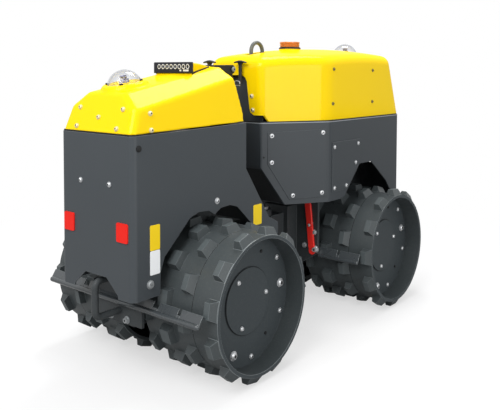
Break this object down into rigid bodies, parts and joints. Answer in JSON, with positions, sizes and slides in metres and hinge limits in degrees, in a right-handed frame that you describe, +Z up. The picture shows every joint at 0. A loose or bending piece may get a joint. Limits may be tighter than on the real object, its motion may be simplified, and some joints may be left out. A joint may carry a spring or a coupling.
{
  "type": "trench roller",
  "caption": "Articulated padfoot trench roller: two box-shaped halves on a steering pin, each on a pair of padded drums, with opening hoods.",
  "frame": {"origin": "on the ground, midway between the two axles, under the steering pin and the middle of the overall box", "axes": "+X forward to the engine half, +Y to the left, +Z up"},
  "size_m": [1.74, 0.82, 1.1781],
  "materials": {
    "grey_steel": "satin",
    "frame_steel": "satin",
    "pin_steel": "satin",
    "engine_block": "matte",
    "yellow_hood": "gloss",
    "drum_iron": "satin",
    "black_plastic": "matte",
    "clear_dome": "gloss",
    "receiver_dark": "matte",
    "amber_lens": "gloss",
    "lock_red": "gloss"
  },
  "bodies": {
    "rear_half": {"rear_frame": "frame_steel", "steering_pin": "pin_steel", "rear_axle": "frame_steel", "rear_outer_scraper": "frame_steel", "rear_inner_scraper": "frame_steel", "rear_tie_loop": "frame_steel", "rear_housing": "grey_steel", "rear_floor": "grey_steel", "hydraulic_tank": "grey_steel", "rear_hood_bracket": "black_plastic"},
    "rear_lid": {"rear_hood": "yellow_hood", "rear_dome": "clear_dome", "rear_receiver": "receiver_dark", "display_panel": "black_plastic", "rear_hood_arms": "black_plastic", "rear_latch": "black_plastic"},
    "front_half": {"front_frame": "frame_steel", "front_axle": "frame_steel", "front_outer_scraper": "frame_steel", "front_inner_scraper": "frame_steel", "front_tie_loop": "frame_steel", "front_housing": "grey_steel", "radiator_grille": "black_plastic", "front_floor": "grey_steel", "front_bulkhead": "grey_steel", "engine": "engine_block", "lifting_eye": "frame_steel", "access_plates": "grey_steel", "lock_bar": "lock_red", "front_latch": "black_plastic", "front_hinge_lugs": "frame_steel"},
    "front_lid": {"front_hood": "yellow_hood", "beacon_base": "black_plastic", "beacon_lens": "amber_lens", "front_dome": "clear_dome", "front_receiver": "receiver_dark", "front_hood_straps": "frame_steel"},
    "drum_rear_right": {"drum_shell_rear_right": "drum_iron", "drum_extension_rear_right": "drum_iron", "drum_cover_rear_right": "drum_iron"},
    "drum_rear_left": {"drum_shell_rear_left": "drum_iron", "drum_extension_rear_left": "drum_iron", "drum_cover_rear_left": "drum_iron"},
    "drum_front_right": {"drum_shell_front_right": "drum_iron", "drum_extension_front_right": "drum_iron", "drum_cover_front_right": "drum_iron"},
    "drum_front_left": {"drum_shell_front_left": "drum_iron", "drum_extension_front_left": "drum_iron", "drum_cover_front_left": "drum_iron"}
  },
  "joints": [
    {"name": "steering", "type": "hinge", "parent": "rear_half", "child": "front_half", "pos_m": [0, 0, 0.36], "axis": [0, 0, 1], "range_deg": [-32, 32]},
    {"name": "rear_hood_lid", "type": "hinge", "parent": "rear_half", "child": "rear_lid", "pos_m": [-0.232, 0, 1.049], "axis": [0, 1, 0], "range_deg": [0, 60]},
    {"name": "front_hood_lid", "type": "hinge", "parent": "front_half", "child": "front_lid", "pos_m": [0.863, 0, 0.846], "axis": [0, 1, 0], "range_deg": [0, 60]},
    {"name": "drum_rear_right_spin", "type": "hinge", "parent": "rear_half", "child": "drum_rear_right", "pos_m": [-0.4775, 0, 0.26], "axis": [0, 1, 0], "continuous": true},
    {"name": "drum_rear_left_spin", "type": "hinge", "parent": "rear_half", "child": "drum_rear_left", "pos_m": [-0.4775, 0, 0.26], "axis": [0, 1, 0], "continuous": true},
    {"name": "drum_front_right_spin", "type": "hinge", "parent": "front_half", "child": "drum_front_right", "pos_m": [0.4775, 0, 0.26], "axis": [0, 1, 0], "continuous": true},
    {"name": "drum_front_left_spin", "type": "hinge", "parent": "front_half", "child": "drum_front_left", "pos_m": [0.4775, 0, 0.26], "axis": [0, 1, 0], "continuous": true}
  ]
}
